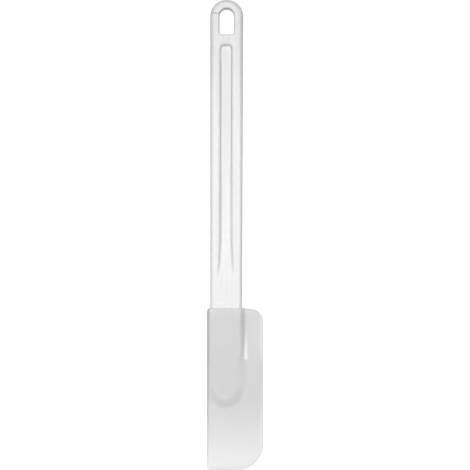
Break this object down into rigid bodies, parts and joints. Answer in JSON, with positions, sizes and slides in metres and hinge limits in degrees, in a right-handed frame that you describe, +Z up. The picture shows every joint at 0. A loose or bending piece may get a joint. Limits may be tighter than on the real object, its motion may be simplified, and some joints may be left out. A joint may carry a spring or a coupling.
{
  "type": "bowl scraper spatula",
  "caption": "Long-handled scraper: a stiff white ribbed plastic handle with a hang hole, and a soft translucent blade locked on its tang.",
  "frame": {"origin": "under the middle of the object's bounding box, on the surface that it lies on with its back down", "axes": "+Y along the handle from the blade to the hang hole, +Z up out of the front face, +X towards the blade's free side"},
  "size_m": [0.0416, 0.35, 0.01],
  "materials": {
    "handle_plastic": "satin white moulded plastic",
    "blade_elastomer": "milky translucent soft elastomer, slightly glossy"
  },
  "bodies": {
    "root": {"handle": "handle_plastic", "blade": "blade_elastomer"}
  },
  "joints": []
}
